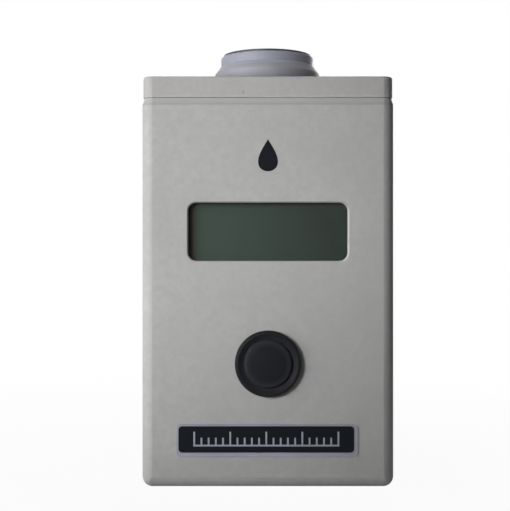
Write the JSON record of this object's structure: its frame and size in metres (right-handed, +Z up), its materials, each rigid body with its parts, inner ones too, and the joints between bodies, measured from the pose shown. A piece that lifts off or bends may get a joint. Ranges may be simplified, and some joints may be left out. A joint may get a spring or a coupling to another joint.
{
  "type": "pocket moisture meter",
  "caption": "Hand-sized moisture meter: two-shell plastic case with a display window, a push button, a sliding battery door and a round contact sensor on top.",
  "frame": {"origin": "middle of the flat base face that the meter stands on", "axes": "+Z up along the case to the sensor, -Y out of the front with the display and the button, +X to the right of somebody who faces the front"},
  "size_m": [0.0808, 0.0414, 0.1413],
  "materials": {
    "case_plastic": "fine spark texture, light warm grey",
    "sensor_plastic": "smooth satin, pale blue-grey",
    "black_plastic": "satin black",
    "black_rubber": "matt black",
    "plate_foil": "satin silver-grey foil",
    "black_print": "black film",
    "clear_pane": "clear acrylic",
    "lcd_glass": "dark green-grey liquid crystal cell, switched off",
    "circuit_board": "green solder resist",
    "chip_black": "moulded epoxy",
    "trimmer_blue": "blue moulding",
    "capacitor_sleeve": "dark blue sleeve",
    "socket_cream": "cream nylon",
    "base_brown": "phenolic laminate",
    "steel": "zinc-plated",
    "nickel": "nickel-plated",
    "brass": "bare",
    "battery_jacket": "printed steel jacket, plain dark grey",
    "foam": "open-cell foam",
    "wire_pale": "wire insulation",
    "wire_red": "wire insulation",
    "wire_black": "wire insulation"
  },
  "bodies": {
    "case": {"front_shell": "case_plastic", "rear_shell": "case_plastic", "top_cover": "case_plastic", "case_screws": "steel", "name_plate": "plate_foil", "name_plate_panel": "black_print", "display_pane": "clear_pane", "lcd_cell": "lcd_glass", "lcd_frame": "black_plastic", "contact_strips": "black_rubber", "main_board": "circuit_board", "board_screws": "steel", "controller_chip": "chip_black", "amplifier_chips": "chip_black", "quartz_crystal": "nickel", "capacitors": "capacitor_sleeve", "trimmer_bodies": "trimmer_blue", "trimmer_screws": "brass", "board_sockets": "socket_cream", "button_bezel": "black_plastic", "button_gasket": "black_rubber", "button_washer": "steel", "button_nut": "nickel", "return_spring": "steel", "switch_base": "base_brown", "switch_lugs": "brass", "switch_leads": "wire_pale", "sensor_head": "sensor_plastic", "sensor_collar": "sensor_plastic", "sensor_gasket": "black_rubber", "sensor_ring_nut": "black_plastic", "centre_electrode": "steel", "ring_electrode": "black_plastic", "sensor_board": "circuit_board", "sensor_lead": "wire_black", "battery": "battery_jacket", "battery_studs": "nickel", "battery_pad": "foam", "battery_clip": "black_rubber", "clip_contacts": "nickel", "battery_lead_red": "wire_red", "battery_lead_black": "wire_black"},
    "push_button": {"push_cap": "black_rubber", "contact_bridge": "brass"},
    "door": {"battery_door": "case_plastic"}
  },
  "joints": [
    {"name": "button_press", "type": "slide", "parent": "case", "child": "push_button", "axis": [0, 1, 0], "range_m": [0, 0.0015], "stiffness_N_per_m": 1200, "springref_m": -0.0008, "deforming": ["return_spring"]},
    {"name": "battery_door_slide", "type": "slide", "parent": "case", "child": "door", "axis": [0, 0, -1], "range_m": [0, 0.062]}
  ]
}
